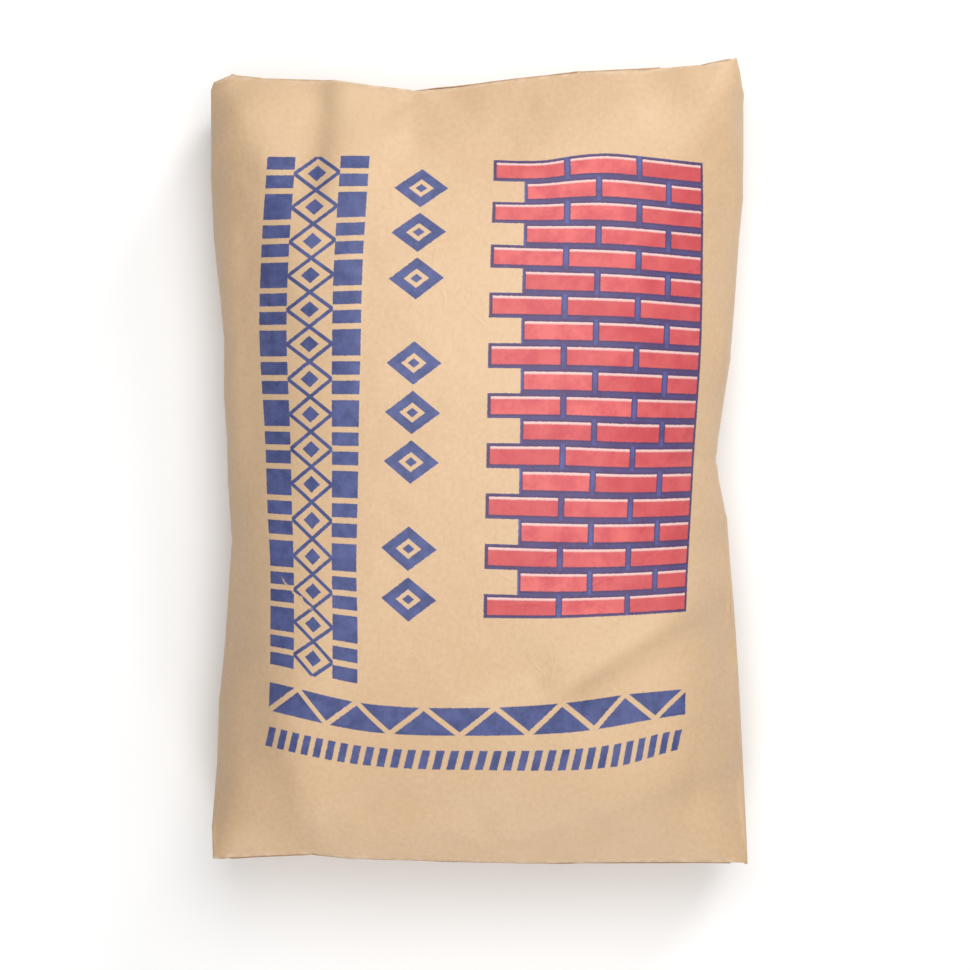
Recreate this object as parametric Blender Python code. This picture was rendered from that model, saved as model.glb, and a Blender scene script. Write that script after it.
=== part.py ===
"""A filled 50 kg paper cement sack with pasted block ends, lying on its back.

Metres, +Z up. The sack's length runs along Y with the valve end at +Y, its width along X,
and its printed face is up. The origin is under the middle of the sack, on the floor.
"""

import bmesh
import bpy
import numpy as np
from mathutils import Vector

# Height of the sack's middle plane, and how far its faces stand from that plane.
MIDDLE_HEIGHT = 0.0665
HALF_END_HEIGHT = 0.0500  # half of the 100 mm block end
END_CORNER_RISE = 0.0070  # how much further an end's fold stands out at its corners
HALF_CROWN = 0.0905  # at the thickest place, before the floor flattens the back
CROWN_POWER = 6.0  # how close to the ends the thickness falls away
FLOOR_ROUNDING = 0.006  # how gradually the back leaves the floor
END_DOME = 0.001  # how far a block end swells past its fold lines

# Roundness of the cross-section: a low power is an oval, a high one a rectangle.
WAIST_POWER = 2.4
END_POWER = 32.0
SQUARING_POWER = 5.5  # how close to the ends the section turns from oval to rectangle

# Outline from above with the end papers on, as (along, across) for the sides and
# (across, along) for the ends.
LEFT_SIDE = (
    (-0.3115, -0.2056),
    (-0.2830, -0.2080),
    (-0.1580, -0.2013),
    (-0.0550, -0.1937),
    (-0.0030, -0.1969),
    (0.0990, -0.1997),
    (0.1510, -0.2050),
    (0.2320, -0.2109),
    (0.2930, -0.2075),
)
RIGHT_SIDE = (
    (-0.3125, 0.2100),
    (-0.2030, 0.2088),
    (-0.1060, 0.2028),
    (-0.0440, 0.1965),
    (0.0010, 0.1880),
    (0.0480, 0.1958),
    (0.0990, 0.2022),
    (0.1950, 0.2093),
    (0.2670, 0.2101),
    (0.3120, 0.2030),
)
VALVE_END = (
    (-0.2060, 0.2950),
    (-0.1900, 0.2990),
    (-0.1470, 0.2977),
    (-0.0970, 0.2952),
    (-0.0470, 0.2900),
    (0.0000, 0.2946),
    (0.0500, 0.3002),
    (0.1500, 0.3072),
    (0.2030, 0.3136),
)
PLAIN_END = (
    (-0.2056, -0.3088),
    (-0.1480, -0.3060),
    (-0.0470, -0.3100),
    (0.0550, -0.3135),
    (0.1060, -0.3124),
    (0.2090, -0.3139),
)

# Number of faces across, along and through the sack.
CELLS_ACROSS = 20
CELLS_ALONG = 30
CELLS_THROUGH = 8

# Glued paper on the block ends. Share 1 is the fold line round an end.
PAPER_GAP = 0.0005
PATCH_THICKNESS = 0.0008
END_PAPER = PAPER_GAP + PATCH_THICKNESS
PATCH_REACH = 0.95
PATCH_HALF_WIDTH = 0.88
PATCH_VALVE_REACH = 0.72  # the patch stops here beside the valve
SLEEVE_THICKNESS = 0.0016
SLEEVE_START = 0.74
SLEEVE_REACH = 0.985
SLEEVE_HALF_WIDTH = 0.80

KRAFT = (0.76, 0.56, 0.36, 1.0)
PATCH_KRAFT = (0.70, 0.50, 0.31, 1.0)
VALVE_KRAFT = (0.62, 0.43, 0.26, 1.0)


def clear_scene():
    for obj in list(bpy.data.objects):
        bpy.data.objects.remove(obj)


def new_collection(name):
    collection = bpy.data.collections.new(name)
    bpy.context.scene.collection.children.link(collection)
    return collection


def paper_material(name, colour):
    material = bpy.data.materials.new(name)
    material.use_nodes = True
    shader = material.node_tree.nodes["Principled BSDF"]
    shader.inputs["Base Color"].default_value = colour
    shader.inputs["Roughness"].default_value = 0.8
    shader.inputs["Metallic"].default_value = 0.0
    return material


def smooth_line(points, at):
    """The height at one place of a smooth curve through points with rising first numbers."""
    places = np.array([p[0] for p in points])
    heights = np.array([p[1] for p in points])
    slopes = np.gradient(heights, places)
    at = float(np.clip(at, places[0], places[-1]))
    i = int(np.clip(np.searchsorted(places, at) - 1, 0, len(points) - 2))
    span = places[i + 1] - places[i]
    t = (at - places[i]) / span
    return float(
        heights[i] * (2 * t**3 - 3 * t**2 + 1)
        + heights[i + 1] * (3 * t**2 - 2 * t**3)
        + slopes[i] * span * (t**3 - 2 * t**2 + t)
        + slopes[i + 1] * span * (t**3 - t**2)
    )


def between(low, high, share):
    """The value at share, from -1 for low to 1 for high."""
    return low + (high - low) * (share + 1) / 2


def lifted(height):
    """Height kept at or above the floor, leaving it gradually."""
    if height >= FLOOR_ROUNDING:
        return height
    if height <= -FLOOR_ROUNDING:
        return 0.0
    return (height + FLOOR_ROUNDING) ** 2 / (4 * FLOOR_ROUNDING)


def sack_point(across, along, through):
    """Where a point of the unfilled box-shaped sack lies on the filled one.

    Each share runs from -1 to 1: left to right, plain end to valve end, back to printed face.
    """
    openness = 1 - abs(along) ** SQUARING_POWER
    power = 1 / (1 / END_POWER + (1 / WAIST_POWER - 1 / END_POWER) * openness)
    reach = max(abs(across), abs(through))
    ring = (abs(across) ** power + abs(through) ** power) ** (1 / power)
    rounding = reach / ring if ring > 0 else 1.0
    u = across * rounding
    w = through * rounding

    side_place = between(PLAIN_END[0][1], VALVE_END[0][1], along)
    x = between(smooth_line(LEFT_SIDE, side_place), smooth_line(RIGHT_SIDE, side_place), u)
    y = between(smooth_line(PLAIN_END, x) + END_PAPER, smooth_line(VALVE_END, x) - END_PAPER, along)
    if abs(along) == 1:
        y -= along * END_DOME * w**2

    end_height = HALF_END_HEIGHT + END_CORNER_RISE * abs(u) ** 3
    crown = HALF_CROWN + (end_height - HALF_CROWN) * abs(along) ** CROWN_POWER
    return Vector((x, y, lifted(MIDDLE_HEIGHT + crown * w)))


def cut_into_cells(mesh, counts):
    """Cuts a block along the lattice lines that part -1 to 1 into cells on each axis."""
    for axis, count in enumerate(counts):
        normal = Vector((0, 0, 0))
        normal[axis] = 1
        for i in range(1, count):
            geometry = mesh.verts[:] + mesh.edges[:] + mesh.faces[:]
            place = normal * (2 * i / count - 1)
            bmesh.ops.bisect_plane(mesh, geom=geometry, plane_co=place, plane_no=normal)


def split_from_corners(mesh):
    """Parts the faces round a block's corners along diagonals from there, which bulge outwards."""
    corners = [v for v in mesh.verts if all(abs(share) > 0.999 for share in v.co)]
    for corner in corners:
        for face in list(corner.link_faces):
            at = list(face.verts).index(corner)
            bmesh.utils.face_split(face, corner, face.verts[(at + 2) % 4])


def finish_object(name, mesh, material, collection, sharp_angle=0.6):
    data = bpy.data.meshes.new(name)
    bmesh.ops.recalc_face_normals(mesh, faces=mesh.faces)
    mesh.to_mesh(data)
    mesh.free()
    data.shade_smooth()
    data.set_sharp_from_angle(angle=sharp_angle)
    data.materials.append(material)
    obj = bpy.data.objects.new(name, data)
    collection.objects.link(obj)
    return obj


def make_sack(collection):
    """The paper tube with both folded ends, full of cement, as one solid."""
    mesh = bmesh.new()
    bmesh.ops.create_cube(mesh, size=2)
    cut_into_cells(mesh, (CELLS_ACROSS, CELLS_ALONG, CELLS_THROUGH))
    split_from_corners(mesh)
    for vertex in mesh.verts:
        vertex.co = sack_point(*vertex.co)
    return finish_object("filled_sack", mesh, paper_material("kraft", KRAFT), collection)


def make_end_sheet(name, end, reach, half_width, thickness, material, collection):
    """A sheet glued on a block end: end is 1 for the valve end and -1 for the plain one.

    It shares the sack's lattice lines, so both bend at the same places and keep their gap.
    """
    mesh = bmesh.new()
    bmesh.ops.create_cube(mesh, size=2)
    for vertex in mesh.verts:
        vertex.co.x = between(*reach, vertex.co.x)
        vertex.co.z *= half_width
    cut_into_cells(mesh, (CELLS_ACROSS, 1, CELLS_THROUGH))
    for vertex in mesh.verts:
        on_end = sack_point(vertex.co.x, end, vertex.co.z)
        on_end.y += end * (PAPER_GAP + (vertex.co.y + 1) / 2 * thickness)
        vertex.co = on_end
    return finish_object(name, mesh, material, collection)


def main():
    clear_scene()
    collection = new_collection("cement_sack")
    make_sack(collection)

    patch_paper = paper_material("patch_kraft", PATCH_KRAFT)
    valve_paper = paper_material("valve_kraft", VALVE_KRAFT)
    sheets = (
        ("valve_end_patch", 1, (-PATCH_REACH, PATCH_VALVE_REACH), PATCH_HALF_WIDTH),
        ("plain_end_patch", -1, (-PATCH_REACH, PATCH_REACH), PATCH_HALF_WIDTH),
    )
    for name, end, reach, half_width in sheets:
        make_end_sheet(name, end, reach, half_width, PATCH_THICKNESS, patch_paper, collection)
    sleeve_reach = (SLEEVE_START, SLEEVE_REACH)
    make_end_sheet(
        "valve_sleeve", 1, sleeve_reach, SLEEVE_HALF_WIDTH, SLEEVE_THICKNESS, valve_paper, collection
    )


main()
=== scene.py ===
import math

import bmesh
import bpy
import numpy as np
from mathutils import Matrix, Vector


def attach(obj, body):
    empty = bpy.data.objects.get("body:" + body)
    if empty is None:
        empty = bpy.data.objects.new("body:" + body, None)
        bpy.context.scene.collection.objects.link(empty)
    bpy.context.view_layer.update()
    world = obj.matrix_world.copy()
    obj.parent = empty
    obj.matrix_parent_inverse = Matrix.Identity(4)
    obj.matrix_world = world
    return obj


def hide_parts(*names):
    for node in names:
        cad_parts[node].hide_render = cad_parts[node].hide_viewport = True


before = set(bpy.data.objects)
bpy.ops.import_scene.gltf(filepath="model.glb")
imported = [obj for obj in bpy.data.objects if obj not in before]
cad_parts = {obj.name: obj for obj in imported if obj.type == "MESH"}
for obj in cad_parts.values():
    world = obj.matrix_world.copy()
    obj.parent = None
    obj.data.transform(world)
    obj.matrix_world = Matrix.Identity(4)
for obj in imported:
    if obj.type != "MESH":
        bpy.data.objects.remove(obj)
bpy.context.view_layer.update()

# The unfilled sack as a box, in metres, and the mesh laid over it.
BOX = np.array([0.415, 0.635, 0.100])
CLOTH_CELL = 0.0075
CELLS = [2 * round(side / CLOTH_CELL / 2) for side in BOX]
TUBE_ROUNDNESS = 2.6  # power of the tube's oval section at mid length
TUBE_END_ROUNDNESS = 40  # and at its ends, where the section is nearly a rectangle
TUBE_OPENING = 2.2  # how close to its ends the tube opens
TUBE_HALF_HEIGHT = 0.060
OVAL_POINTS = 1441
HALVINGS = 40  # steps of the search for an oval's width
PLUMPNESS = 0.60  # pressure of the fill in the cloth simulation
CLOTH_FRAMES = 26
UNEVENNESS = 0.0003  # random, before the sack is filled
UNEVEN_SHARES = (0.5, 0.5, 1.0)  # of it along each axis

# The picture's frame on the sack: pixels of a 970 pixel square, at mid height of the sack.
PIXELS = 970
PIXEL = 0.000791
MID_HEIGHT = 0.070
SACK_CENTRE_PX = (477.35, 463.9)
CAMERA_DISTANCE = 2.0  # above mid height
CAMERA_X = (PIXELS / 2 - SACK_CENTRE_PX[0]) * PIXEL
CAMERA_Y = (SACK_CENTRE_PX[1] - PIXELS / 2) * PIXEL
SENSOR = 36  # in millimetres

END_SWELL = 0.12  # of the block ends' swelling, what stays
END_PRESS_REACH = 0.03
FOLD_SHARE = 0.999  # from here to 1, a point across a block end is on its side fold

THICKNESS = 0.157
SINK = 0.024  # how much of the round back the floor flattens
FLOOR_ROUNDING = 0.006

OUTLINE_PASSES = 4
EVENING = np.array([1, 2, 3, 2, 1]) / 9  # weights that even out the ends of the rows
EVENING_START = 4  # the row from the edge where that is in full
EDGE_SHARE = 0.98  # from here to 1, the points of a row tell where along the edge it ends

# Outline in the picture's plane: (along, across) for the sides, (across, along) for the ends.
LEFT_SIDE = (
    (-0.3121, -0.2091), (-0.2821, -0.2099), (-0.2341, -0.2059), (-0.1871, -0.2043),
    (-0.1391, -0.1993), (-0.0921, -0.1963), (-0.0601, -0.1941), (-0.0131, -0.1972),
    (0.0189, -0.1980), (0.0509, -0.2003), (0.0979, -0.2003), (0.1299, -0.2033),
    (0.1769, -0.2083), (0.2249, -0.2107), (0.2879, -0.2107), (0.3039, -0.2063),
)
RIGHT_SIDE = (
    (-0.3181, 0.2141), (-0.2971, 0.2133), (-0.2501, 0.2109), (-0.1871, 0.2077),
    (-0.1231, 0.2038), (-0.0761, 0.1998), (-0.0441, 0.1975), (-0.0131, 0.1911),
    (0.0029, 0.1888), (0.0189, 0.1904), (0.0509, 0.1951), (0.0819, 0.1999),
    (0.1299, 0.2037), (0.1769, 0.2070), (0.2089, 0.2101), (0.2399, 0.2105),
    (0.2879, 0.2105), (0.3039, 0.2077), (0.3199, 0.2037),
)
VALVE_END = (
    (-0.2063, 0.3019), (-0.1913, 0.3076), (-0.1633, 0.3045), (-0.1123, 0.3029),
    (-0.0813, 0.2981), (-0.0493, 0.2946), (-0.0173, 0.2981), (0.0297, 0.3045),
    (0.0767, 0.3099), (0.1247, 0.3124), (0.1717, 0.3155), (0.2037, 0.3215),
)
PLAIN_END = (
    (-0.2073, -0.3133), (-0.1913, -0.3117), (-0.1283, -0.3086), (-0.0963, -0.3117),
    (-0.0173, -0.3141), (0.0297, -0.3153), (0.1667, -0.3153), (0.2037, -0.3157),
    (0.2137, -0.3181),
)

# Slopes of the printed face that catch or lose the light: rise in metres to the left of the
# line (seen along it), half width of the slope and reach of the rise in pixels, and the
# picture points that the line runs through.
SLOPES = (
    # valley and ridge at the top, left of the middle
    (0.0080, 16, 55, ((330, 20), (330, 110), (324, 160), (318, 230))),
    (-0.0070, 30, 80, ((430, 30), (420, 100), (396, 170), (380, 260))),
    (-0.0006, 5, 30, ((366, 150), (358, 300), (352, 450))),
    # top edge and its corners
    (0.0060, 24, 55, ((290, 92), (350, 94), (430, 98), (500, 92), (570, 84))),
    (-0.0030, 26, 60, ((500, 92), (580, 96), (650, 100), (740, 110), (800, 120))),
    (0.0060, 18, 50, ((640, 20), (680, 80), (720, 135), (750, 200))),
    (-0.0020, 14, 50, ((632, 50), (645, 100), (662, 160))),
    (-0.0060, 18, 50, ((195, 150), (232, 100), (270, 74), (310, 60))),
    # left and right sides
    (-0.0040, 12, 40, ((238, 200), (236, 300), (240, 380), (244, 480), (246, 560))),
    (0.0030, 10, 40, ((738, 130), (737, 220), (733, 300), (726, 380), (718, 440), (712, 500))),
    (0.0024, 8, 26, ((222, 60), (219, 200), (223, 300), (227, 400), (231, 460))),
    (0.0060, 12, 40, ((230, 420), (232, 520), (230, 600), (228, 700), (222, 800), (216, 900))),
    (0.0095, 26, 90, ((240, 450), (248, 560), (256, 640), (268, 720), (290, 800), (315, 900))),
    (-0.0085, 26, 80, ((704, 440), (708, 560), (706, 640), (700, 720), (684, 790), (655, 900))),
    (-0.0055, 16, 50, ((716, 560), (720, 640), (722, 720), (726, 800), (734, 900))),
    # bottom edge and its corners
    (-0.0060, 26, 60, ((290, 826), (360, 822), (480, 826), (560, 830), (630, 836))),
    (0.0075, 26, 60, ((570, 835), (650, 800), (745, 765), (800, 745))),
    (0.0070, 28, 60, ((170, 790), (250, 815), (350, 860))),
    # fold below the brick panel, and a small crease beside it
    (-0.0050, 14, 50, ((440, 716), (540, 686), (600, 656), (650, 628), (705, 592))),
    (0.0095, 18, 50, ((545, 710), (590, 682), (640, 648), (700, 614), (745, 582))),
    (0.0006, 4, 14, ((276, 570), (292, 584), (316, 606))),
)

SLOPE_FADE_IN = 0.2  # share of a line's length over which its slope sets in
SLOPE_FADE_OUT = 0.3

# Upward parts of the normal between which the slopes and the print die out down the sides.
SLOPE_FACING = (0.15, 0.6)
PRINT_FACING = (0.02, 0.2)

# Places of the flat print on the filled sack. For each line down the print, in brick lengths
# to the right of the brick panel's left edge: courses down from its top, picture x and y.
PRINT_MARKS = {
    -3.11: (
        (0, 267.5, 156.7), (3.97, 261.3, 250), (7.68, 259.2, 335.8), (11.48, 264.2, 425.8),
        (14.93, 268, 506.7), (17.17, 271, 561.7), (21.92, 270.8, 665), (25.14, 268.3, 746),
    ),
    -1.70: (
        (0, 370, 156.7), (3.97, 363.5, 246), (7.68, 360.8, 334.2), (11.48, 358.7, 427),
        (14.93, 357.5, 511.3), (17.17, 356.5, 568), (21.92, 357.5, 685), (24.35, 358, 745),
    ),
    0: (
        (0, 493.8, 159.2), (4, 491, 244.2), (8, 488.3, 343), (12, 486.7, 443),
        (16, 484.8, 543.7), (18.97, 483.5, 618), (22.6, 483.5, 707.6), (25.14, 483.5, 770.2),
    ),
    0.74: ((0, 547, 160),),
    1: (
        (0.48, 567.5, 167), (6.48, 564.6, 305.8), (12.48, 562.5, 455.8), (18.48, 558.7, 606.7),
        (22.6, 556, 703.2), (25.14, 556, 770.5),
    ),
    1.54: ((0, 606, 153.3),),
    2: (
        (0.48, 639.6, 167), (6.48, 637.8, 308.3), (12.48, 632.5, 458.3), (18.48, 626.7, 604.2),
        (22.6, 624, 694.5), (25.14, 624, 764),
    ),
    2.95: (
        (0.13, 703, 165.5), (4.13, 703, 257.8), (8.13, 701, 352.8), (12.13, 694.5, 449.2),
        (16.13, 688.5, 545.8), (18.97, 685, 610.8), (22.6, 685, 688.3), (25.14, 683.3, 747),
    ),
}

PRINT_SCALE = 100  # pixels for each unit of the surface through the marks
PRINT_SMOOTHING = 0.002

# Papers glued on the block ends, in metres and in shares of an end: 1 is the fold round it.
GLUE_GAP = 0.0005
SHARP_ANGLE = 0.7  # in radians, from which an edge of a paper is shaded sharp
PATCH_THICKNESS = 0.0007
PATCH_REACH = 0.95
PATCH_HALF_WIDTH = 0.86
PATCH_VALVE_REACH = 0.72
PATCH_CELL = 0.0025
PATCH_EDGE_FADE = 0.15  # share over which the folds below die out at a patch's long edges
TOOTH_PITCH = 0.004  # of the patch's saw-cut short edges
TOOTH_DEPTH = 0.0016
FLAP_STEP = 0.0005
FLAP_OVERLAP = (-0.008, 0.014)  # heights between which the two long flaps overlap
FLAP_BEND = 0.002  # half length of the ramp up to a flap
FLAP_STOP = 0.03  # length at each end without the overlap
CORNER_BEND = 0.003  # half length of the ramp up to a corner triangle
CORNER_STEP = 0.8  # of the flaps' step
SLEEVE_START = 0.60
SLEEVE_REACH = 0.985
SLEEVE_HALF_WIDTH = 0.72
SLEEVE_PAPER = 0.0003
SLEEVE_LEAST_GAP = 0.0004  # half of the gap in the tube under the patch
SLEEVE_OPENING = 0.005
SLEEVE_BOW = 0.9  # how much less it opens at its long edges
SLEEVE_SQUARENESS = 0.7  # power of the tube's flat section, where 1 is an oval
SLEEVE_ROWS = 70
SLEEVE_COLUMNS = 96
BULGE = 0.0022  # how far the patch rises over the sleeve
BULGE_BEFORE = 0.05  # share by which the rise starts before the sleeve and beside it
BULGE_AFTER = 0.04  # share past the sleeve's start at which the rise is complete
BULGE_FADE = 0.3  # share over which the rise sets in from the sleeve's long edges


def interpolate(points, at):
    return np.interp(at, [p[0] for p in points], [p[1] for p in points])


def smooth_step(low, high, value):
    t = np.clip((value - low) / (high - low), 0, 1)
    return t * t * (3 - 2 * t)


# Mesh helpers


def positions(mesh):
    co = np.empty(len(mesh.vertices) * 3, np.float32)
    mesh.vertices.foreach_get("co", co)
    return co.reshape(-1, 3).astype(float)


def set_positions(mesh, co):
    mesh.vertices.foreach_set("co", co.astype(np.float32).ravel())
    mesh.update()


def get_point_vectors(mesh, name):
    data = np.empty(len(mesh.vertices) * 3, np.float32)
    mesh.attributes[name].data.foreach_get("vector", data)
    return data.reshape(-1, 3).astype(float)


def set_point_vectors(mesh, name, values):
    attribute = mesh.attributes.get(name) or mesh.attributes.new(name, "FLOAT_VECTOR", "POINT")
    attribute.data.foreach_set("vector", values.astype(np.float32).ravel())


def vertex_normals(mesh):
    normals = np.empty(len(mesh.vertices) * 3, np.float32)
    mesh.vertex_normals.foreach_get("vector", normals)
    return normals.reshape(-1, 3).astype(float)


def link(name, mesh):
    obj = bpy.data.objects.new(name, mesh)
    bpy.context.scene.collection.objects.link(obj)
    return obj


def apply_modifiers(obj):
    graph = bpy.context.evaluated_depsgraph_get()
    mesh = bpy.data.meshes.new_from_object(obj.evaluated_get(graph))
    obj.modifiers.clear()
    obj.data = mesh
    return mesh


def grid_mesh(name, points, closed=False):
    """A mesh over a grid of points, given as rows of places; closed joins each row's ends."""
    rows, columns = points.shape[:2]
    faces = []
    for i in range(rows - 1):
        for j in range(columns if closed else columns - 1):
            k = (j + 1) % columns
            here, above = i * columns, (i + 1) * columns
            faces.append((here + j, here + k, above + k, above + j))
    mesh = bpy.data.meshes.new(name)
    mesh.from_pydata(points.reshape(-1, 3).tolist(), [], faces)
    mesh.update()
    return mesh


def box_lattice():
    """A closed box of square cells centred on the origin. Its point attribute "paper" keeps
    each point's place on the unfilled sack."""
    index, points, faces = {}, [], []

    def corner(ijk):
        if ijk not in index:
            index[ijk] = len(points)
            points.append([BOX[a] * (ijk[a] / CELLS[a] - 0.5) for a in range(3)])
        return index[ijk]

    for axis in range(3):
        a, b = (axis + 1) % 3, (axis + 2) % 3
        for end in (0, CELLS[axis]):
            for i in range(CELLS[a]):
                for j in range(CELLS[b]):
                    quad = []
                    for di, dj in ((0, 0), (1, 0), (1, 1), (0, 1)):
                        ijk = [0, 0, 0]
                        ijk[axis], ijk[a], ijk[b] = end, i + di, j + dj
                        quad.append(corner(tuple(ijk)))
                    faces.append(quad if end else quad[::-1])
    mesh = bpy.data.meshes.new("sack_mesh")
    mesh.from_pydata(points, [], faces)
    mesh.update()
    set_point_vectors(mesh, "paper", np.array(points))
    return mesh


# The filled sack


def oval_of_girth(power, half_height, girth):
    """Points of an oval at equal steps round it, from its left tip over the top, and its girth."""
    angle = np.linspace(-math.pi, math.pi, OVAL_POINTS)
    cos, sin = np.cos(angle), np.sin(angle)
    unit = np.column_stack(
        [np.sign(cos) * np.abs(cos) ** (2 / power), -np.sign(sin) * np.abs(sin) ** (2 / power)]
    )
    low, high = half_height, girth / 2
    for _ in range(HALVINGS):
        half_width = (low + high) / 2
        points = unit * (half_width, half_height)
        lengths = np.linalg.norm(np.diff(points, axis=0), axis=1)
        low, high = (half_width, high) if lengths.sum() < girth else (low, half_width)
    return points, np.concatenate([[0], np.cumsum(lengths)]) / lengths.sum()


def open_tube(paper):
    """The sack as a tube: a box at its folded ends and a flat oval of the same girth between."""
    half_x, half_z = BOX[0] / 2, BOX[2] / 2
    x, z = paper[:, 0], paper[:, 2]
    girth = 4 * (half_x + half_z)
    top = np.isclose(z, half_z)
    left = np.isclose(x, -half_x) & ~top
    right = np.isclose(x, half_x) & ~top
    bottom = np.isclose(z, -half_z) & ~left & ~right
    place = np.select(
        [top, left & (z >= 0), left, right, bottom],
        [half_z + x + half_x, z, girth + z, half_z + 2 * half_x + half_z - z,
         3 * half_z + 2 * half_x + half_x - x],
        default=-1.0,
    ) / girth
    out = paper.copy()
    squareness = 1 / TUBE_END_ROUNDNESS
    rows = np.round((paper[:, 1] / BOX[1] + 0.5) * CELLS[1]).astype(int)
    for row in range(CELLS[1] + 1):
        from_middle = abs(2 * row / CELLS[1] - 1)
        openness = 1 - from_middle**TUBE_OPENING
        power = 1 / (squareness + (1 / TUBE_ROUNDNESS - squareness) * openness)
        half_height = half_z + (TUBE_HALF_HEIGHT - half_z) * openness
        oval, share = oval_of_girth(power, half_height, girth)
        on_row = (rows == row) & (place >= 0)
        out[on_row, 0] = np.interp(place[on_row], share, oval[:, 0])
        out[on_row, 2] = np.interp(place[on_row], share, oval[:, 1])
    return out


def inflate(obj, seed):
    """Fills the sack in a cloth simulation, with paper that bends but hardly stretches."""
    rng = np.random.default_rng(seed)
    co = open_tube(get_point_vectors(obj.data, "paper"))
    set_positions(obj.data, co + rng.normal(0, UNEVENNESS, co.shape) * UNEVEN_SHARES)
    cloth = obj.modifiers.new("Cloth", "CLOTH")
    paper = cloth.settings
    paper.quality = 6
    paper.mass = 0.02
    paper.air_damping = 2
    paper.tension_stiffness = paper.compression_stiffness = 80
    paper.shear_stiffness = 48
    paper.bending_model = "ANGULAR"
    paper.bending_stiffness = 0.8
    paper.tension_damping = paper.compression_damping = paper.shear_damping = 5
    paper.bending_damping = 0.5
    paper.use_pressure = True
    paper.uniform_pressure_force = PLUMPNESS
    paper.effector_weights.gravity = 0
    cloth.collision_settings.use_collision = False
    cloth.collision_settings.use_self_collision = False
    cloth.point_cache.frame_start = 1
    cloth.point_cache.frame_end = CLOTH_FRAMES
    for number in range(1, CLOTH_FRAMES + 1):
        bpy.context.scene.frame_set(number)
    apply_modifiers(obj)
    bpy.context.scene.frame_set(1)


def lay_down(co):
    """Lays the sack on the floor, which flattens its back."""
    scale = (THICKNESS + SINK) / (co[:, 2].max() - co[:, 2].min())
    height = (co[:, 2] - co[:, 2].min()) * scale - SINK
    r = FLOOR_ROUNDING
    rounded = np.where(height > r, height, (np.maximum(height, -r) + r) ** 2 / (4 * r))
    return np.column_stack([co[:, 0], co[:, 1], rounded])


def camera_scale(z):
    return CAMERA_DISTANCE / (CAMERA_DISTANCE + MID_HEIGHT - z)


def even_out(values):
    """Values smoothed along a row, except towards its ends."""
    smooth = np.convolve(np.pad(values, len(EVENING) // 2, "edge"), EVENING, "valid")
    from_end = np.minimum(np.arange(len(values)), np.arange(len(values))[::-1])
    return values + (smooth - values) * np.clip(from_end / EVENING_START, 0, 1)


def fit_outline(co, paper):
    """Stretches the sack's rows and columns so that it fills its outline seen from the camera."""
    out = co.copy()
    eye = (CAMERA_X, CAMERA_Y)
    scale = camera_scale(out[:, 2])
    for _ in range(OUTLINE_PASSES):
        for axis, low_edge, high_edge in ((0, LEFT_SIDE, RIGHT_SIDE), (1, PLAIN_END, VALVE_END)):
            other = 1 - axis
            half_cells = np.round((paper[:, other] / BOX[other] + 0.5) * CELLS[other] * 2)
            lines, line = np.unique(half_cells, return_inverse=True)
            seen = eye[axis] + (out[:, axis] - eye[axis]) * scale
            along = eye[other] + (out[:, other] - eye[other]) * scale
            low, high = np.full(len(lines), np.inf), np.full(len(lines), -np.inf)
            np.minimum.at(low, line, seen)
            np.maximum.at(high, line, seen)
            near_edge = BOX[axis] / 2 * EDGE_SHARE
            low_at, high_at = np.zeros(len(lines)), np.zeros(len(lines))
            for edge, at in ((-1, low_at), (1, high_at)):
                near = paper[:, axis] * edge > near_edge
                total, count = np.zeros(len(lines)), np.zeros(len(lines))
                np.add.at(total, line[near], along[near])
                np.add.at(count, line[near], 1)
                at[:] = total / np.maximum(count, 1)
            low, high = even_out(low), even_out(high)
            want_low, want_high = interpolate(low_edge, low_at), interpolate(high_edge, high_at)
            share = (seen - low[line]) / (high - low)[line]
            seen = want_low[line] + share * (want_high - want_low)[line]
            out[:, axis] = eye[axis] + (seen - eye[axis]) / scale
    return out


def flatten_ends(co, paper):
    """Presses the block ends nearly flat between their folds, which stay where they are."""
    out = co.copy()
    half_cells = np.round((paper / BOX + 0.5) * np.array(CELLS) * 2).astype(int)
    columns, layers = CELLS[0] * 2 + 1, CELLS[2] * 2 + 1
    share = np.linspace(0, 1, layers)[None, :]
    for end in (-1, 1):
        on_end = half_cells[:, 1] == (0 if end < 0 else CELLS[1] * 2)
        along = np.zeros((columns, layers))
        along[half_cells[on_end, 0], half_cells[on_end, 2]] = co[on_end, 1]
        flat = along[:, :1] * (1 - share) + along[:, -1:] * share
        press = (flat - along) * (1 - END_SWELL)
        inward = np.abs(paper[:, 1] - end * BOX[1] / 2)
        fade = 1 - smooth_step(0, END_PRESS_REACH, inward)
        inner = np.abs(paper[:, 0]) < BOX[0] / 2 * FOLD_SHARE
        fade = np.where(inner & ~on_end, 0, fade)
        out[:, 1] += fade * press[half_cells[:, 0], half_cells[:, 2]]
    return out


def picture_place(co):
    """Where each point is seen in the picture, in pixels."""
    scale = camera_scale(co[:, 2])
    x = CAMERA_X + (co[:, 0] - CAMERA_X) * scale
    y = CAMERA_Y + (co[:, 1] - CAMERA_Y) * scale
    return np.column_stack([SACK_CENTRE_PX[0] + x / PIXEL, SACK_CENTRE_PX[1] - y / PIXEL])


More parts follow.
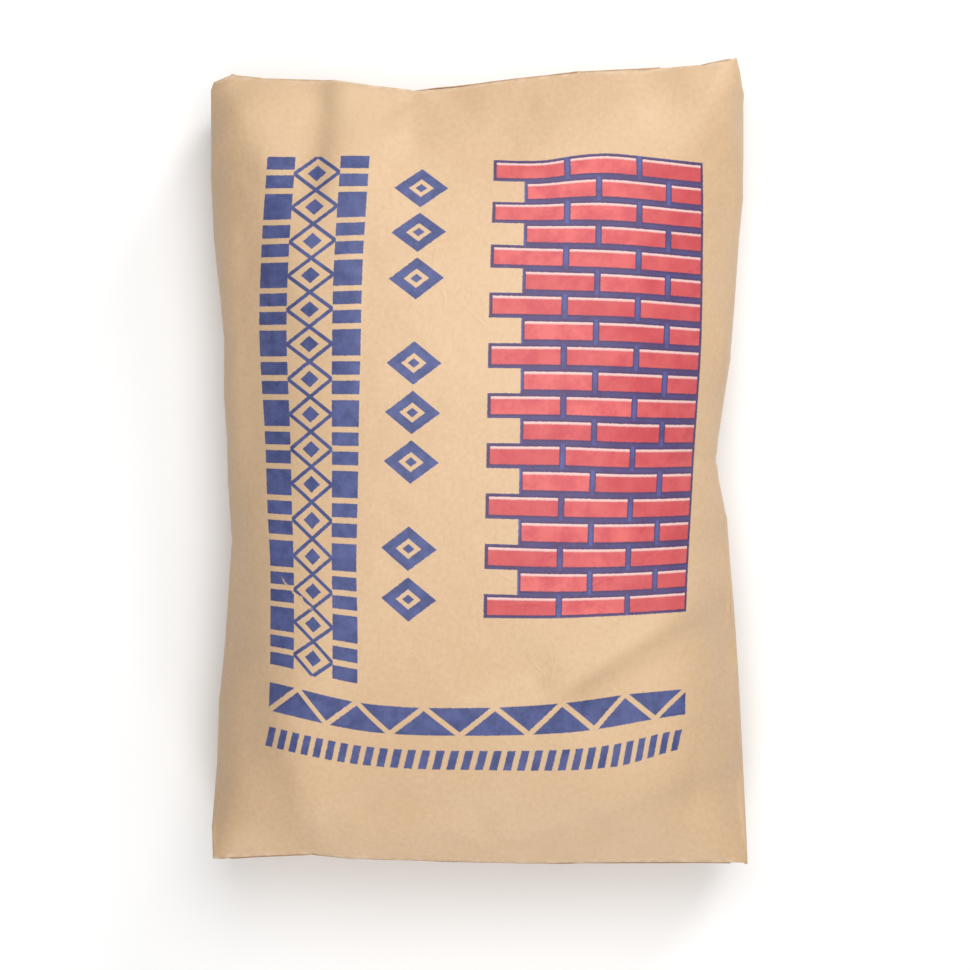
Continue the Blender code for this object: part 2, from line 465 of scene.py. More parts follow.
def line_distance(seen, points):
    """Distance to the left of a chain of points, and the share of its length at the nearest."""
    points = np.array(points, float)
    lengths = np.linalg.norm(np.diff(points, axis=0), axis=1)
    best = np.full(len(seen), np.inf)
    signed, share = np.zeros(len(seen)), np.zeros(len(seen))
    start = 0.0
    for a, b, length in zip(points[:-1], points[1:], lengths):
        along = (b - a) / length
        offset = seen - a
        t = np.clip(offset @ along, 0, length)
        side = offset[:, 0] * along[1] - offset[:, 1] * along[0]
        distance = np.linalg.norm(offset - t[:, None] * along, axis=1)
        nearer = distance < best
        best = np.where(nearer, distance, best)
        signed = np.where(nearer, np.sign(side) * distance, signed)
        share = np.where(nearer, (start + t) / lengths.sum(), share)
        start += length
    return signed, share


def fold_relief(seen):
    """Height that the folds of the printed face add, in metres."""
    height = np.zeros(len(seen))
    for rise, width, reach, points in SLOPES:
        signed, share = line_distance(seen, points)
        fade = smooth_step(0, SLOPE_FADE_IN, share) * smooth_step(0, SLOPE_FADE_OUT, 1 - share)
        height += rise * fade * np.tanh(signed / width) * np.exp(-np.abs(signed) / reach)
    return height


def thin_plate(places, values, smoothing):
    """A smooth surface through values at places, as a function."""
    count = len(places)

    def kernel(distance):
        return np.where(distance > 0, distance**2 * np.log(np.maximum(distance, 1e-9)), 0)

    plane = np.column_stack([np.ones(count), places])
    gaps = np.linalg.norm(places[:, None] - places[None], axis=2)
    system = np.block([
        [kernel(gaps) + smoothing * np.eye(count), plane],
        [plane.T, np.zeros((3, 3))],
    ])
    weights = np.linalg.solve(system, np.vstack([values, np.zeros((3, values.shape[1]))]))

    def surface(at):
        distance = np.linalg.norm(at[:, None] - places[None], axis=2)
        return kernel(distance) @ weights[:count] + weights[count] + at @ weights[count + 1:]

    return surface


def print_place(seen):
    """Where each point of the face is on the flat print, in brick lengths and courses."""
    marks = np.array([(x, y, s, t) for s, column in PRINT_MARKS.items() for t, x, y in column])
    surface = thin_plate(marks[:, :2] / PRINT_SCALE, marks[:, 2:], PRINT_SMOOTHING)
    return surface(seen / PRINT_SCALE)


def make_sack():
    """The printed paper sack, filled and lying on its back."""
    obj = link("kraft_sack", box_lattice())
    inflate(obj, seed=3)
    smooth = obj.modifiers.new("Subdivision", "SUBSURF")
    smooth.levels = smooth.render_levels = 1
    mesh = apply_modifiers(obj)
    paper = get_point_vectors(mesh, "paper")
    co = fit_outline(flatten_ends(lay_down(positions(mesh)), paper), paper)
    set_positions(mesh, co)
    facing = smooth_step(*SLOPE_FACING, vertex_normals(mesh)[:, 2])
    seen = picture_place(co)
    co[:, 2] += fold_relief(seen) * facing
    set_positions(mesh, co)
    on_face = smooth_step(*PRINT_FACING, vertex_normals(mesh)[:, 2])
    set_point_vectors(mesh, "print", np.column_stack([print_place(seen), on_face]))
    mesh.shade_smooth()
    mesh.materials.clear()
    mesh.materials.append(printed_kraft())
    return obj


# The papers on the block ends


class BlockEnd:
    """One block end of the filled sack, as a surface over shares -1 to 1 across and through."""

    def __init__(self, mesh, end):
        paper = get_point_vectors(mesh, "paper")
        on_end = np.isclose(paper[:, 1], end * BOX[1] / 2, atol=1e-5)
        across = np.round((paper[:, 0] / BOX[0] + 0.5) * CELLS[0] * 2).astype(int)
        through = np.round((paper[:, 2] / BOX[2] + 0.5) * CELLS[2] * 2).astype(int)
        self.end = end
        self.points = np.zeros((CELLS[0] * 2 + 1, CELLS[2] * 2 + 1, 3))
        self.points[across[on_end], through[on_end]] = positions(mesh)[on_end]
        outward = np.cross(*np.gradient(self.points, axis=(0, 1)))
        outward *= np.sign(outward[..., 1:2]) * end
        self.outward = outward / np.linalg.norm(outward, axis=2, keepdims=True)

    def sample(self, grid, u, w):
        """Values of a grid at shares u and w, between its points."""
        i = (u + 1) / 2 * (grid.shape[0] - 1)
        j = (w + 1) / 2 * (grid.shape[1] - 1)
        i0 = np.clip(i.astype(int), 0, grid.shape[0] - 2)
        j0 = np.clip(j.astype(int), 0, grid.shape[1] - 2)
        fi, fj = (i - i0)[..., None], (j - j0)[..., None]
        low = grid[i0, j0] * (1 - fi) + grid[i0 + 1, j0] * fi
        high = grid[i0, j0 + 1] * (1 - fi) + grid[i0 + 1, j0 + 1] * fi
        return low * (1 - fj) + high * fj

    def lifted(self, u, w, height):
        """Points that far outside the end."""
        outward = self.sample(self.outward, u, w)
        return self.sample(self.points, u, w) + outward * height[..., None]

    def unfilled(self, u, w):
        """Where the points at shares u and w are on the unfilled sack."""
        y = 0 * u + self.end * BOX[1] / 2
        return np.stack([u * BOX[0] / 2, y, w * BOX[2] / 2], axis=-1)


def saw_edge(w):
    """Depth of the saw-cut edge along a patch's short side, in shares of the half length."""
    phase = (w * BOX[2] / 2 / TOOTH_PITCH) % 1
    return np.abs(2 * phase - 1) * TOOTH_DEPTH / (BOX[0] / 2)


def folded_flaps(u, w):
    """Height of the folds under a patch: two long flaps that overlap, and corner triangles."""
    half_length, half_width = BOX[0] / 2, BOX[2] / 2
    x, z = u * half_length, w * half_width
    low, high = FLAP_OVERLAP
    overlap = smooth_step(low - FLAP_BEND, low + FLAP_BEND, z)
    overlap = overlap * smooth_step(-high - FLAP_BEND, -high + FLAP_BEND, -z)
    corner = half_length - np.abs(x) - (half_width - np.abs(z))
    triangle = smooth_step(-CORNER_BEND, CORNER_BEND, -corner) * CORNER_STEP
    return FLAP_STEP * (overlap * (np.abs(x) < half_length - FLAP_STOP) + triangle)


def finish_paper(obj, unfilled, thickness, offset, material, end=None):
    """Gives paper its thickness, its places on the unfilled sack and its material. An open
    sheet is turned to face out of its end of the sack."""
    mesh = obj.data
    set_point_vectors(mesh, "paper", unfilled.reshape(-1, 3))
    build = bmesh.new()
    build.from_mesh(mesh)
    bmesh.ops.recalc_face_normals(build, faces=build.faces)
    if end and sum(face.normal.y for face in build.faces) * end < 0:
        bmesh.ops.reverse_faces(build, faces=build.faces)
    build.to_mesh(mesh)
    build.free()
    solid = obj.modifiers.new("Solidify", "SOLIDIFY")
    solid.thickness = thickness
    solid.offset = offset
    mesh = apply_modifiers(obj)
    mesh.shade_smooth()
    mesh.set_sharp_from_angle(angle=SHARP_ANGLE)
    mesh.materials.clear()
    mesh.materials.append(material)
    return obj


def make_patch(name, block_end, low, high, over_sleeve):
    """A sheet with saw-cut short edges, glued over a block end from share low to high."""
    across = round((high - low) * BOX[0] / 2 / PATCH_CELL)
    through = 2 * round(2 * PATCH_HALF_WIDTH * BOX[2] / 2 / PATCH_CELL)
    share = np.linspace(0, 1, across + 1)[:, None]
    w = np.linspace(-PATCH_HALF_WIDTH, PATCH_HALF_WIDTH, through + 1)[None, :]
    teeth = saw_edge(w)
    u = (low + teeth) + (high - low - 2 * teeth) * share
    w = w + 0 * u
    to_edge = PATCH_HALF_WIDTH - np.abs(w)
    height = GLUE_GAP + folded_flaps(u, w) * smooth_step(0, PATCH_EDGE_FADE, to_edge)
    if over_sleeve:
        near = smooth_step(SLEEVE_START - BULGE_BEFORE, SLEEVE_START + BULGE_AFTER, u)
        to_edge = SLEEVE_HALF_WIDTH + BULGE_BEFORE - np.abs(w)
        height += near * BULGE * smooth_step(0, BULGE_FADE, to_edge)
    obj = link(name, grid_mesh(name, block_end.lifted(u, w, height)))
    unfilled = block_end.unfilled(u, w)
    return finish_paper(obj, unfilled, PATCH_THICKNESS, 1, patch_kraft(), block_end.end)


def make_sleeve(name, block_end):
    """The valve: a flattened paper tube from under the patch to an open mouth at the corner."""
    u = np.linspace(SLEEVE_START, SLEEVE_REACH, SLEEVE_ROWS)[:, None]
    angle = np.linspace(0, 2 * math.pi, SLEEVE_COLUMNS, endpoint=False)[None, :]
    cos, sin = np.cos(angle), np.sin(angle)
    w = SLEEVE_HALF_WIDTH * np.sign(cos) * np.abs(cos) ** SLEEVE_SQUARENESS + 0 * u
    openness = smooth_step(PATCH_VALVE_REACH, SLEEVE_REACH, u)
    bow = 1 - SLEEVE_BOW * (w / SLEEVE_HALF_WIDTH) ** 2
    half_gap = SLEEVE_LEAST_GAP + SLEEVE_OPENING / 2 * openness * bow
    lift = np.sign(sin) * np.abs(sin) ** SLEEVE_SQUARENESS
    height = GLUE_GAP + SLEEVE_PAPER + half_gap * (1 + lift)
    u = u + 0 * w
    obj = link(name, grid_mesh(name, block_end.lifted(u, w, height), closed=True))
    return finish_paper(obj, block_end.unfilled(u, w), SLEEVE_PAPER, -1, valve_kraft())


# Materials


def linear(red, green, blue):
    """A colour given in 8-bit display values."""

    def one(value):
        value /= 255
        return value / 12.92 if value <= 0.04045 else ((value + 0.055) / 1.055) ** 2.4

    return (one(red), one(green), one(blue), 1.0)


KRAFT_LIGHT = linear(198, 168, 134)
KRAFT_DARK = linear(192, 160, 125)
KRAFT_FIBRE = linear(168, 134, 98)
KRAFT_WORN = linear(214, 190, 162)
PATCH_LIGHT = linear(190, 158, 124)
PATCH_DARK = linear(178, 145, 110)
VALVE_LIGHT = linear(178, 144, 106)
VALVE_DARK = linear(164, 130, 92)
RED_LIGHT = linear(206, 98, 96)
RED_DARK = linear(186, 74, 80)
RED_DEEP = linear(174, 60, 66)
HIGHLIGHT = linear(216, 184, 178)
MORTAR_DARK = linear(70, 50, 88)
MORTAR_LIGHT = linear(76, 82, 138)
BLUE_LIGHT = linear(74, 82, 130)
BLUE_DARK = linear(53, 62, 107)

# The print, in brick lengths to the right and courses down, as in PRINT_MARKS.
SOFT_ACROSS = 0.006  # half width of the print's edges, which are slightly soft
SOFT_DOWN = 0.02  # and half height
PANEL_COURSES = 18.97
PANEL_BRICKS = 2.95
PANEL_SOFT = 0.008
BRICK_OFFSET = 0.43
MORTAR_X = 0.045
BRICK_RISE = (0.13, 0.84)  # where a brick starts and ends in its course
BRICK_LIGHT = (0.27, 0.18)  # where its light upper edge ends, and where that is full
BRICK_STOP = (0.025, 0.04)  # from the panel's right edge, where the bricks' colour stops
BED_MIDDLE = 0.985  # of the joint between two courses
HEAD_CORES = (0.3, 0.32)  # the joints between bricks have a blue core to the right of this
SHADED_BRICKS = (1.75, 2.2)  # between these places the bricks turn darker
COURSE_NUMBER = 7.31  # what a course adds to its bricks' numbers, so that their tones differ
BORDER = (-3.11, -2.72, -2.09, -1.70)
BORDER_LENGTH = 21.95
BORDER_BLOCKS = ((0, 0.56), (0.80, 1.36), (1.60, 2.70))
LACE_PITCH = BORDER_LENGTH / 15
LACE_WIDTH = (0.16, 0.11)  # in shares of half the space between the rails
BEAD_HALF_WIDTH = 0.42  # in the same shares
BEAD_HALF_LENGTH = 0.24  # in lace pitches
BORDER_PITCH = 2 * LACE_PITCH
LOZENGE_MIDDLE = -0.975
LOZENGE_HALF_WIDTH = 0.367
LOZENGE_HALF_HEIGHT = 0.44  # in lozenge pitches
LOZENGE_RING = 0.46  # the dark ring's inner edge, in shares of the lozenge
LOZENGE_CORE = (0.24, 0.20)  # the dark middle's soft edge, in the same shares
LOZENGE_GROUPS = ((0.4, 3), (7.85, 3), (15.3, 2))
LOZENGE_PITCH = 2.0
TEETH_BAND = (22.60, 23.73)
TEETH_PITCH = 0.932
TEETH_GAP = (0.10, 0.14)  # half of the bare line between triangles, and its soft edge
DASH_BAND = (24.35, 25.14)
DASH_PITCH = 0.19
DASH_SLANT = 0.0855  # brick lengths to the left for each course down
DASH_REACH = (0.1, 0.68)  # where a dash starts and ends in its pitch
CREASE_START = (-2.91, 17.87)

# The sharp crease, in pixels of the picture. A brick length and a course go this far along it
# and across it.
CREASE_ALONG = (52.5, 15.8)
CREASE_ACROSS = (46.2, 18.0)
CREASE_LENGTH = 44.0
CREASE_WANDER = 14.0
CREASE_WIDTH = (1.7, 0.5)  # from its middle, where it starts and where it is full
CREASE_FADE = 4.0  # at its ends

# How much of a colour or of the relief each feature of the paper gives.
FIBRE_TINT = 0.16
SHIVE_TINT = 0.30
CRUMPLE_TINT = 0.12
WEAR_TINT = 0.6
WORN_INK = 0.35
CRACKED_INK = 0.85
FLOC_RELIEF = 0.25
CREPE_RELIEF = 0.4
FIBRE_RELIEF = 0.25
WEAR_RELIEF = 0.5
SOFT_FOLD_RELIEF = 0.8
GRAIN_ROUGHNESS = 0.12
WEAR_REACH = (0.006, 0.0005)  # from a fold, where its scuffs start and where they are full

# Roughness of the papers.
KRAFT_ROUGHNESS = 0.50
PATCH_ROUGHNESS = 0.58
VALVE_ROUGHNESS = 0.62


class Nodes:
    """A small helper that writes a material's node tree."""

    def __init__(self, name):
        self.material = bpy.data.materials.new(name)
        self.material.use_nodes = True
        self.tree = self.material.node_tree
        self.shader = self.tree.nodes["Principled BSDF"]

    def node(self, kind, **settings):
        node = self.tree.nodes.new(kind)
        for key, value in settings.items():
            setattr(node, key, value)
        return node

    def put(self, socket, value):
        if isinstance(value, bpy.types.NodeSocket):
            self.tree.links.new(value, socket)
        else:
            socket.default_value = value

    def math(self, operation, a, b=0.0):
        node = self.node("ShaderNodeMath", operation=operation)
        self.put(node.inputs[0], a)
        self.put(node.inputs[1], b)
        return node.outputs[0]

    def add(self, a, b):
        return self.math("ADD", a, b)

    def minus(self, a, b):
        return self.math("SUBTRACT", a, b)

    def times(self, *values):
        result = values[0]
        for value in values[1:]:
            result = self.math("MULTIPLY", result, value)
        return result

    def over(self, a, b):
        return self.math("DIVIDE", a, b)

    def fraction(self, value):
        return self.math("FRACT", value)

    def distance(self, a, b):
        return self.math("ABSOLUTE", self.minus(a, b))

    def from_lines(self, value, middle):
        """Distance to the nearest line, with one at middle in each unit."""
        return self.distance(self.fraction(self.add(value, 0.5 - middle)), 0.5)

    def invert(self, value):
        return self.minus(1.0, value)

    def largest(self, *values):
        result = values[0]
        for value in values[1:]:
            result = self.math("MAXIMUM", result, value)
        return result

    def ramp(self, value, start, end):
        """0 at start and 1 at end, smooth between and level outside."""
        node = self.node("ShaderNodeMapRange", interpolation_type="SMOOTHSTEP")
        flip = start > end
        self.put(node.inputs["Value"], value)
        node.inputs["From Min"].default_value = min(start, end)
        node.inputs["From Max"].default_value = max(start, end)
        node.inputs["To Min"].default_value = 1.0 if flip else 0.0
        node.inputs["To Max"].default_value = 0.0 if flip else 1.0
        return node.outputs["Result"]

    def inside(self, value, low, high, soft):
        """1 where value is between low and high, with edges as soft as that."""
        return self.times(
            self.ramp(value, low - soft, low + soft), self.ramp(value, high + soft, high - soft)
        )

    def attribute(self, name):
        return self.node("ShaderNodeAttribute", attribute_name=name).outputs["Vector"]

    def parts(self, vector):
        node = self.node("ShaderNodeSeparateXYZ")
        self.put(node.inputs[0], vector)
        return node.outputs["X"], node.outputs["Y"], node.outputs["Z"]

    def stretched(self, vector, scale, turn=0.0):
        node = self.node("ShaderNodeMapping")
        self.put(node.inputs["Vector"], vector)
        node.inputs["Rotation"].default_value = (0, 0, turn)
        node.inputs["Scale"].default_value = scale
        return node.outputs["Vector"]

    def white_noise(self, value):
        node = self.node("ShaderNodeTexWhiteNoise", noise_dimensions="1D")
        self.put(node.inputs["W"], value)
        return node.outputs["Value"]

    def noise(self, vector, scale, detail=2.0, roughness=0.5):
        node = self.node("ShaderNodeTexNoise")
        self.put(node.inputs["Vector"], vector)
        node.inputs["Scale"].default_value = scale
        node.inputs["Detail"].default_value = detail
        node.inputs["Roughness"].default_value = roughness
        return node.outputs["Fac"]

    def cells(self, vector, scale, feature="F1"):
        node = self.node("ShaderNodeTexVoronoi", feature=feature)
        self.put(node.inputs["Vector"], vector)
        node.inputs["Scale"].default_value = scale
        return node.outputs["Distance"]

    def warped(self, vector, scale, amount):
        """The vector, shifted by a coarse noise."""
        drift = self.node("ShaderNodeTexNoise")
        self.put(drift.inputs["Vector"], vector)
        drift.inputs["Scale"].default_value = scale
        shift = self.node("ShaderNodeVectorMath", operation="SCALE")
        self.put(shift.inputs[0], drift.outputs["Color"])
        shift.inputs["Scale"].default_value = amount
        moved = self.node("ShaderNodeVectorMath", operation="ADD")
        self.put(moved.inputs[0], vector)
        self.put(moved.inputs[1], shift.outputs[0])
        return moved.outputs[0]

    def mix(self, factor, a, b):
        node = self.node("ShaderNodeMix", data_type="RGBA")
        self.put(node.inputs["Factor"], factor)
        self.put(node.inputs["A"], a)
        self.put(node.inputs["B"], b)
        return node.outputs["Result"]

    def bump(self, height, distance, strength, below=None):
        node = self.node("ShaderNodeBump")
        node.inputs["Distance"].default_value = distance
        node.inputs["Strength"].default_value = strength
        self.put(node.inputs["Height"], height)
        if below is not None:
            self.put(node.inputs["Normal"], below)
        return node.outputs["Normal"]


def fold_wear(n, place):
    """Scuffs along the folds round the block ends."""
    parts = n.parts(place)
    margin_x, margin_y, margin_z = (
        n.minus(side / 2, n.distance(part, 0.0)) for side, part in zip(BOX, parts)
    )
    to_fold = n.math("MINIMUM", n.largest(margin_y, margin_z), n.largest(margin_x, margin_y))
    patchy = n.ramp(n.noise(place, scale=170, detail=4, roughness=0.65), 0.45, 0.6)
    return n.times(n.ramp(to_fold, *WEAR_REACH), patchy)


def kraft_paper(n, place, light, dark):
    """Unbleached paper: its colour, and the height of its grain and of its small crumples."""
    cloud = n.noise(place, scale=9, detail=3)
    flocs = n.noise(place, scale=240, detail=3, roughness=0.6)
    tone = n.add(n.times(cloud, 0.45), n.times(flocs, 0.55))
    colour = n.mix(n.ramp(tone, 0.36, 0.64), dark, light)

    fibres = n.largest(*(
        n.ramp(n.noise(n.stretched(place, (1.0, 0.12, 0.5), turn), scale=1500, detail=1), 0.64, 0.76)
        for turn in (0.0, 0.7, -0.9)
    ))
    colour = n.mix(n.times(fibres, FIBRE_TINT), colour, KRAFT_FIBRE)
    shives = n.ramp(n.cells(place, scale=130), 0.07, 0.04)
    colour = n.mix(n.times(shives, SHIVE_TINT), colour, KRAFT_FIBRE)

    warped = n.warped(place, scale=30, amount=0.03)
    to_crease = n.cells(warped, scale=24, feature="DISTANCE_TO_EDGE")
    crumpled = n.ramp(n.noise(place, scale=7, detail=2), 0.52, 0.66)
    creases = n.times(n.ramp(to_crease, 0.05, 0.0), crumpled)
    colour = n.mix(n.times(creases, CRUMPLE_TINT), colour, light)
    worn = fold_wear(n, place)
    colour = n.mix(n.times(worn, WEAR_TINT), colour, KRAFT_WORN)

    crepe = n.noise(n.stretched(place, (0.25, 1.0, 1.0)), scale=900, detail=1)
    grain = n.add(n.times(crepe, CREPE_RELIEF), n.times(fibres, FIBRE_RELIEF))
    grain = n.add(n.times(flocs, FLOC_RELIEF), grain)
    grain = n.add(grain, n.times(worn, WEAR_RELIEF))
    soft_folds = n.noise(place, scale=55, detail=2)
    return colour, grain, n.add(creases, n.times(soft_folds, SOFT_FOLD_RELIEF))


def paper_finish(n, colour, grain, creases, roughness):
    n.put(n.shader.inputs["Base Color"], colour)
    n.put(n.shader.inputs["Roughness"], n.add(roughness, n.times(grain, GRAIN_ROUGHNESS)))
    n.shader.inputs["Specular IOR Level"].default_value = 0.45
    broad = n.bump(creases, distance=0.0008, strength=0.22)
    n.put(n.shader.inputs["Normal"], n.bump(grain, distance=0.0002, strength=0.4, below=broad))
    return n.material


def brick_panel(n, place, s, t):
    """Mask and colour of a wall in running bond with a toothed left edge."""
    course = n.math("FLOOR", t)
    rise = n.minus(t, course)
    from_left = n.minus(s, n.times(n.math("FLOORED_MODULO", course, 2.0), BRICK_OFFSET))
    mask = n.times(
        n.inside(t, 0, PANEL_COURSES, SOFT_DOWN),
        n.ramp(s, PANEL_BRICKS + PANEL_SOFT, PANEL_BRICKS - PANEL_SOFT),
        n.ramp(from_left, -PANEL_SOFT, PANEL_SOFT),
    )
    brick = n.times(
        n.inside(n.fraction(from_left), MORTAR_X, 1 - MORTAR_X, 0.007),
        n.inside(rise, *BRICK_RISE, SOFT_DOWN),
        n.ramp(n.minus(PANEL_BRICKS, s), *BRICK_STOP),
    )
    number = n.add(n.math("FLOOR", from_left), n.times(course, COURSE_NUMBER))
    mottling = n.noise(place, scale=60, detail=4, roughness=0.65)
    red = n.mix(n.ramp(mottling, 0.32, 0.66), RED_DARK, RED_LIGHT)
    red = n.mix(n.times(n.white_noise(number), 0.6), red, RED_DEEP)
    red = n.mix(n.times(n.ramp(s, *SHADED_BRICKS), 0.4), red, RED_DEEP)
    red = n.mix(n.times(n.ramp(rise, *BRICK_LIGHT), 0.9), red, HIGHLIGHT)
    bed_joint = n.ramp(n.from_lines(t, BED_MIDDLE), 0.10, 0.05)
    head_joint = n.ramp(n.from_lines(from_left, 0.0), 0.035, 0.02)
    head_joint = n.times(head_joint, n.ramp(s, *HEAD_CORES))
    core = n.largest(n.times(bed_joint, 0.35), head_joint)
    patchy = n.add(0.35, n.times(n.ramp(n.noise(place, scale=60, detail=3), 0.35, 0.6), 0.65))
    mortar = n.mix(n.times(core, patchy), MORTAR_DARK, MORTAR_LIGHT)
    return mask, n.mix(brick, mortar, red)


def laced_border(n, s, t):
    """Two rails of blocks with crossing laces and beads between them."""
    unit = n.math("MODULO", t, BORDER_PITCH)
    blocks = n.largest(*(n.inside(unit, start, end, SOFT_DOWN) for start, end in BORDER_BLOCKS))
    outer_left, inner_left, inner_right, outer_right = BORDER
    rails = n.largest(
        n.inside(s, outer_left, inner_left, SOFT_ACROSS),
        n.inside(s, inner_right, outer_right, SOFT_ACROSS),
    )
    middle, half = (inner_left + inner_right) / 2, (inner_right - inner_left) / 2
    across = n.over(n.distance(s, middle), half)
    phase = n.fraction(n.add(n.over(t, LACE_PITCH), 0.5))
    swing = n.times(n.distance(phase, 0.5), 2.0)
    lace = n.times(n.ramp(n.distance(across, swing), *LACE_WIDTH), n.ramp(across, 1.05, 1.0))
    bead_along = n.over(n.from_lines(phase, 0.0), BEAD_HALF_LENGTH)
    bead = n.ramp(n.add(n.over(across, BEAD_HALF_WIDTH), bead_along), 1.05, 0.95)
    border = n.largest(n.times(blocks, rails), lace, bead)
    return n.times(border, n.inside(t, 0, BORDER_LENGTH, SOFT_DOWN))


def lozenges(n, s, t):
    """Groups of lozenges one inside another."""
    groups = []
    across = n.over(n.distance(s, LOZENGE_MIDDLE), LOZENGE_HALF_WIDTH)
    for start, count in LOZENGE_GROUPS:
        local = n.minus(t, start)
        along = n.distance(n.fraction(n.over(local, LOZENGE_PITCH)), 0.5)
        reach = n.add(across, n.over(along, LOZENGE_HALF_HEIGHT))
        shape = n.largest(n.inside(reach, LOZENGE_RING, 1.0, 0.02), n.ramp(reach, *LOZENGE_CORE))
        groups.append(n.times(shape, n.inside(local, 0, count * LOZENGE_PITCH, 0.01)))
    return n.largest(*groups)


def lower_bands(n, s, t):
    """A band of dog-tooth triangles and a band of slanted dashes."""
    top, bottom = TEETH_BAND
    height = n.over(n.minus(t, top), bottom - top)
    swing = n.times(n.distance(n.fraction(n.over(n.minus(s, BORDER[0]), TEETH_PITCH)), 0.5), 2.0)
    teeth = n.times(n.inside(height, 0, 1, 0.02), n.ramp(n.distance(swing, height), *TEETH_GAP))
    teeth = n.times(teeth, n.inside(s, BORDER[0], PANEL_BRICKS, SOFT_ACROSS))
    upright = n.add(s, n.times(n.minus(t, DASH_BAND[0]), DASH_SLANT))
    dash = n.fraction(n.over(n.minus(upright, BORDER[0]), DASH_PITCH))
    dashes = n.times(n.inside(t, *DASH_BAND, SOFT_DOWN), n.inside(dash, *DASH_REACH, 0.04))
    dashes = n.times(dashes, n.inside(upright, BORDER[0], PANEL_BRICKS, SOFT_ACROSS))
    return n.largest(teeth, dashes)


def creased_ink(n, place, s, t):
    """The sharp crease across the laced border, where the ink has cracked off."""
    right, down = n.minus(s, CREASE_START[0]), n.minus(t, CREASE_START[1])
    along = n.add(n.times(right, CREASE_ALONG[0]), n.times(down, CREASE_ALONG[1]))
    across = n.minus(n.times(right, CREASE_ACROSS[0]), n.times(down, CREASE_ACROSS[1]))
    wander = n.times(n.minus(n.noise(place, scale=110, detail=2), 0.5), CREASE_WANDER)
    line = n.ramp(n.distance(across, wander), *CREASE_WIDTH)
    return n.times(line, n.inside(along, 0, CREASE_LENGTH, CREASE_FADE))


def printed_kraft():
    """The sack's paper, with the print on its face."""
    n = Nodes("printed_kraft")
    place = n.attribute("paper")
    colour, grain, creases = kraft_paper(n, place, KRAFT_LIGHT, KRAFT_DARK)

    s, t, on_face = n.parts(n.attribute("print"))
    ragged = n.times(n.minus(n.noise(place, scale=420, detail=2), 0.5), 0.05)
    s = n.add(s, n.times(ragged, 0.34))
    t = n.add(t, ragged)
    worn = n.ramp(n.noise(place, scale=700, detail=3, roughness=0.7), 0.62, 0.78)
    cover = n.times(on_face, n.invert(n.times(worn, WORN_INK)))
    crease = creased_ink(n, place, s, t)
    cover = n.times(cover, n.invert(n.times(crease, CRACKED_INK)))
    creases = n.add(creases, n.times(crease, on_face))
    mottling = n.noise(place, scale=90, detail=4, roughness=0.65)
    blue = n.mix(n.ramp(mottling, 0.3, 0.7), BLUE_DARK, BLUE_LIGHT)
    blue_mask = n.largest(laced_border(n, s, t), lozenges(n, s, t), lower_bands(n, s, t))
    colour = n.mix(n.times(blue_mask, cover), colour, blue)
    panel_mask, panel = brick_panel(n, place, s, t)
    colour = n.mix(n.times(panel_mask, cover), colour, panel)
    return paper_finish(n, colour, grain, creases, KRAFT_ROUGHNESS)


def patch_kraft():
    n = Nodes("patch_kraft")
    colour, grain, creases = kraft_paper(n, n.attribute("paper"), PATCH_LIGHT, PATCH_DARK)
    return paper_finish(n, colour, grain, creases, PATCH_ROUGHNESS)


def valve_kraft():
    n = Nodes("valve_kraft")
    colour, grain, creases = kraft_paper(n, n.attribute("paper"), VALVE_LIGHT, VALVE_DARK)
    return paper_finish(n, colour, grain, creases, VALVE_ROUGHNESS)


# Floor, light and camera


FLOOR_REACH = 6.0
FLOOR_WHITE = (0.94, 0.94, 0.94, 1)
FLOOR_ROUGHNESS = 0.9
WORLD_STRENGTH = 0.45
LAMP_AIM = Vector((0, 0, 0.05))
LAMPS = (
    # name, place, diameter and power
    ("overhead", (0.0, 0.2, 1.0), 0.7, 5.8),
    ("front", (0.05, -1.6, 1.0), 1.0, 13.0),
    ("back", (1.0, 1.5, 1.0), 1.0, 19.5),
)


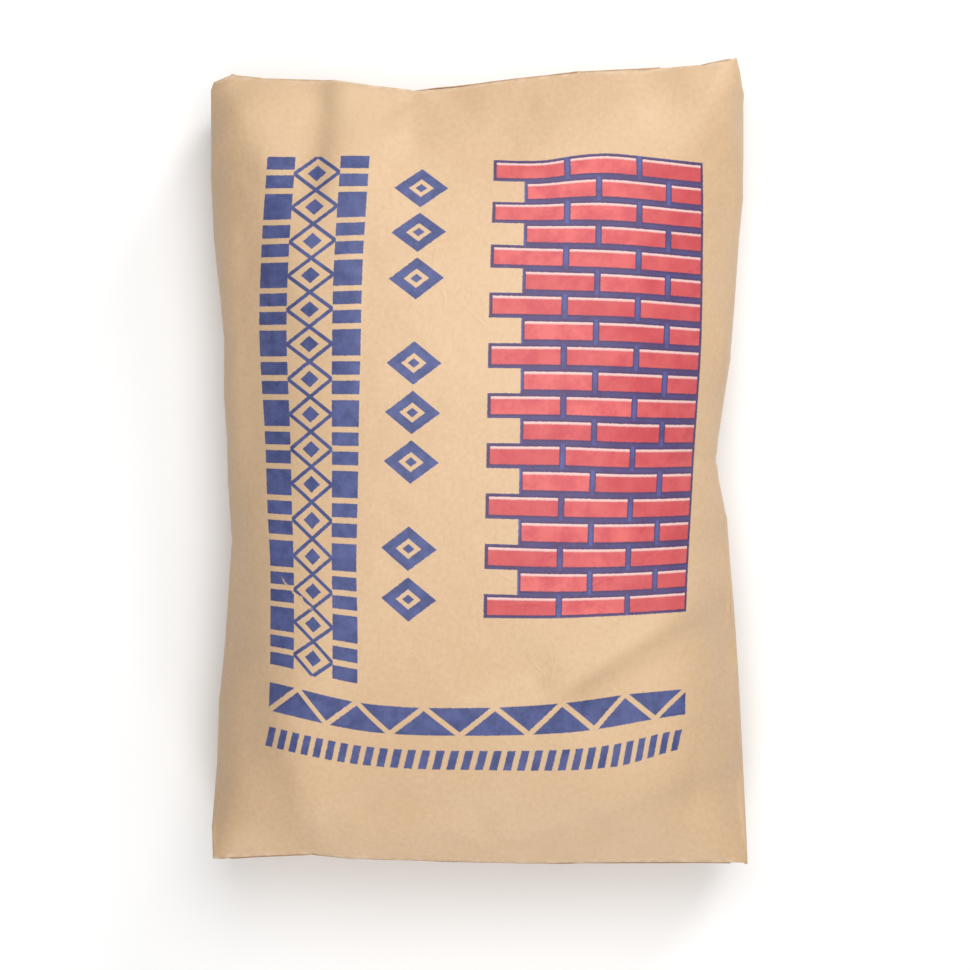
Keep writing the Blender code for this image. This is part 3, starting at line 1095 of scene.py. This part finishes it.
def area_light(name, place, size, power):
    """A round softbox aimed at the sack and hidden from the camera."""
    light = bpy.data.lights.new(name, "AREA")
    light.shape = "DISK"
    light.size = size
    light.energy = power
    obj = link(name, light)
    obj.location = place
    obj.rotation_euler = (LAMP_AIM - obj.location).to_track_quat("-Z", "Y").to_euler()
    obj.visible_camera = False


def make_floor():
    ends = (-FLOOR_REACH, FLOOR_REACH)
    mesh = grid_mesh("floor", np.array([[(x, y, 0) for x in ends] for y in ends]))
    n = Nodes("floor_white")
    n.put(n.shader.inputs["Base Color"], FLOOR_WHITE)
    n.shader.inputs["Roughness"].default_value = FLOOR_ROUGHNESS
    mesh.materials.append(n.material)
    link("floor", mesh)


def make_light():
    world = bpy.data.worlds.new("studio")
    bpy.context.scene.world = world
    world.use_nodes = True
    background = world.node_tree.nodes["Background"]
    background.inputs["Color"].default_value = (1, 1, 1, 1)
    background.inputs["Strength"].default_value = WORLD_STRENGTH
    for name, place, size, power in LAMPS:
        area_light(name, place, size, power)


def make_camera():
    """A camera straight above the sack that sees the picture's square at mid height."""
    camera = bpy.data.cameras.new("camera")
    camera.sensor_width = camera.sensor_height = SENSOR
    camera.sensor_fit = "HORIZONTAL"
    camera.lens = SENSOR * CAMERA_DISTANCE / (PIXELS * PIXEL)
    obj = link("camera", camera)
    obj.location = (CAMERA_X, CAMERA_Y, MID_HEIGHT + CAMERA_DISTANCE)
    bpy.context.scene.camera = obj
    bpy.context.scene.view_settings.view_transform = "Standard"


def add_piece(piece, node):
    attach(piece, "root")
    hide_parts(node)


sack = make_sack()
add_piece(sack, "filled_sack")

valve_end = BlockEnd(sack.data, 1)
plain_end = BlockEnd(sack.data, -1)
valve_patch = make_patch("valve_end_paper", valve_end, -PATCH_REACH, PATCH_VALVE_REACH, True)
add_piece(valve_patch, "valve_end_patch")
plain_patch = make_patch("plain_end_paper", plain_end, -PATCH_REACH, PATCH_REACH, False)
add_piece(plain_patch, "plain_end_patch")
add_piece(make_sleeve("valve_sleeve_paper", valve_end), "valve_sleeve")

make_floor()
make_light()
make_camera()
